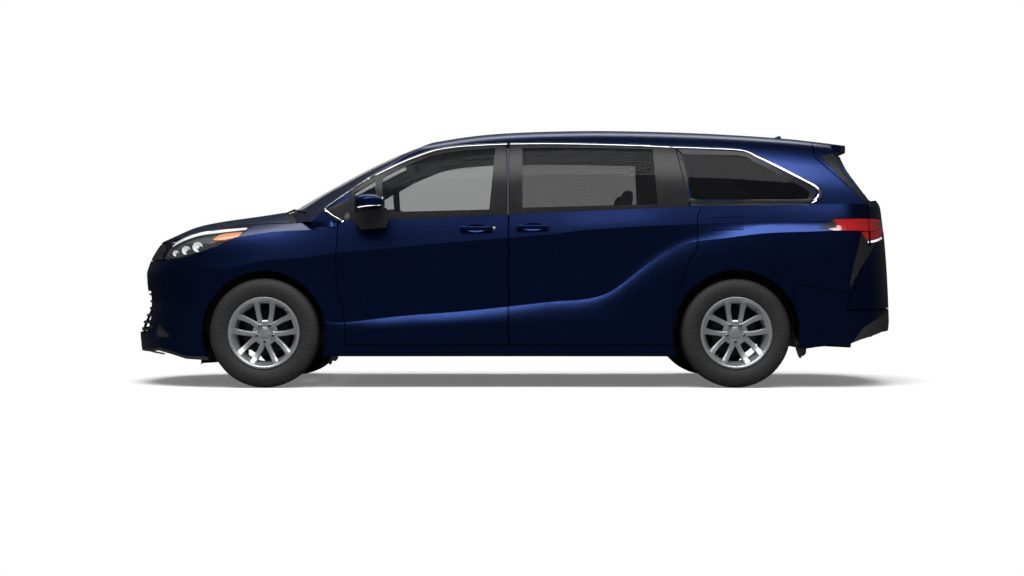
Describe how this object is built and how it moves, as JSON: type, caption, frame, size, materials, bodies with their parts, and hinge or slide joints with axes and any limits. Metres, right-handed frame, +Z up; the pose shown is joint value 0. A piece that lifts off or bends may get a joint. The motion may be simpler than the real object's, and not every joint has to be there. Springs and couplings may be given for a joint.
{
  "type": "minivan",
  "caption": "Family minivan with hinged front doors, closed sliding side doors, bonnet, tailgate, steered front wheels and rolling alloy wheels.",
  "frame": {"origin": "on the ground below the middle of the car's outline", "axes": "+X to the tail, so the nose points to -X; +Y to the car's right side; +Z up"},
  "size_m": [5.1744, 2.3542, 1.7337],
  "materials": {
    "blue": "gloss",
    "black_gloss": "gloss",
    "black_plastic": "matte",
    "cabin_plastic": "matte",
    "cloth": "matte",
    "glass_clear": "gloss",
    "glass_dark": "gloss",
    "lamp_clear": "gloss",
    "lamp_red": "gloss",
    "alloy": "satin",
    "steel": "satin",
    "cast_metal": "matte",
    "tyre": "matte"
  },
  "bodies": {
    "root": {"body_side_left": "blue", "body_side_right": "blue", "bumper_inserts": "black_plastic", "cowl": "black_plastic", "dashboard": "cabin_plastic", "engine_block": "cast_metal", "exhaust": "steel", "floor_pan": "black_plastic", "front_bumper": "blue", "front_seats": "cloth", "front_subframe": "cast_metal", "front_wing_left": "blue", "front_wing_right": "blue", "fuel_tank": "black_plastic", "grille": "black_gloss", "headlamps": "lamp_clear", "middle_seats": "cloth", "mud_flaps": "black_plastic", "rear_axle": "cast_metal", "rear_bumper": "blue", "rear_quarter_left": "blue", "rear_quarter_right": "blue", "rear_seat": "cloth", "roof": "blue", "side_glass": "glass_dark", "sliding_door_left": "blue", "sliding_door_right": "blue", "sliding_door_sashes": "black_gloss", "tail_lamps": "lamp_red", "wheel_liners": "black_plastic", "windscreen": "glass_clear"},
    "door_left": {"front_door_left": "blue", "front_door_sash_left": "black_gloss", "front_door_glass_left": "glass_clear", "mirror_left": "blue"},
    "door_right": {"front_door_right": "blue", "front_door_sash_right": "black_gloss", "front_door_glass_right": "glass_clear", "mirror_right": "blue"},
    "bonnet": {"bonnet": "blue"},
    "tailgate": {"tailgate": "blue", "rear_glass": "glass_dark", "tailgate_lamps": "lamp_red"},
    "knuckle_left": {"knuckle_left": "cast_metal"},
    "knuckle_right": {"knuckle_right": "cast_metal"},
    "wheel_front_left": {"tyre_front_left": "tyre", "rim_front_left": "alloy"},
    "wheel_front_right": {"tyre_front_right": "tyre", "rim_front_right": "alloy"},
    "wheel_rear_left": {"tyre_rear_left": "tyre", "rim_rear_left": "alloy"},
    "wheel_rear_right": {"tyre_rear_right": "tyre", "rim_rear_right": "alloy"},
    "steering_wheel": {"steering_wheel": "cabin_plastic"}
  },
  "joints": [
    {"name": "roll_front_left", "type": "hinge", "parent": "knuckle_left", "child": "wheel_front_left", "pos_m": [-1.6195, -0.868, 0.357], "axis": [0, 1, 0], "continuous": true},
    {"name": "roll_front_right", "type": "hinge", "parent": "knuckle_right", "child": "wheel_front_right", "pos_m": [-1.6195, 0.868, 0.357], "axis": [0, 1, 0], "continuous": true},
    {"name": "roll_rear_left", "type": "hinge", "parent": "root", "child": "wheel_rear_left", "pos_m": [1.4405, -0.868, 0.357], "axis": [0, 1, 0], "continuous": true},
    {"name": "roll_rear_right", "type": "hinge", "parent": "root", "child": "wheel_rear_right", "pos_m": [1.4405, 0.868, 0.357], "axis": [0, 1, 0], "continuous": true},
    {"name": "steer_left", "type": "hinge", "parent": "root", "child": "knuckle_left", "pos_m": [-1.6195, -0.72279, 0.357], "axis": [0, 0, 1], "range_deg": [-35, 35]},
    {"name": "steer_right", "type": "hinge", "parent": "root", "child": "knuckle_right", "pos_m": [-1.6195, 0.72279, 0.357], "axis": [0, 0, 1], "range_deg": [-35, 35]},
    {"name": "front_door_left_swing", "type": "hinge", "parent": "root", "child": "door_left", "pos_m": [-1.158, -0.99, 0.7], "axis": [0, 0, -1], "range_deg": [0, 65]},
    {"name": "front_door_right_swing", "type": "hinge", "parent": "root", "child": "door_right", "pos_m": [-1.158, 0.99, 0.7], "axis": [0, 0, 1], "range_deg": [0, 65]},
    {"name": "bonnet_lift", "type": "hinge", "parent": "root", "child": "bonnet", "pos_m": [-1.465, 0, 1.18], "axis": [0, 1, 0], "range_deg": [0, 50]},
    {"name": "tailgate_lift", "type": "hinge", "parent": "root", "child": "tailgate", "pos_m": [1.99, 0, 1.664], "axis": [0, -1, 0], "range_deg": [0, 80]},
    {"name": "steering_wheel_turn", "type": "hinge", "parent": "root", "child": "steering_wheel", "pos_m": [-0.75037, -0.37886, 0.98028], "axis": [0.9063, 0, 0.4226], "range_deg": [-490, 490]}
  ],
  "couplings": [
    {"joint": "steer_right", "follows": "steer_left", "ratio": 1},
    {"joint": "steering_wheel_turn", "follows": "steer_left", "ratio": 14}
  ]
}
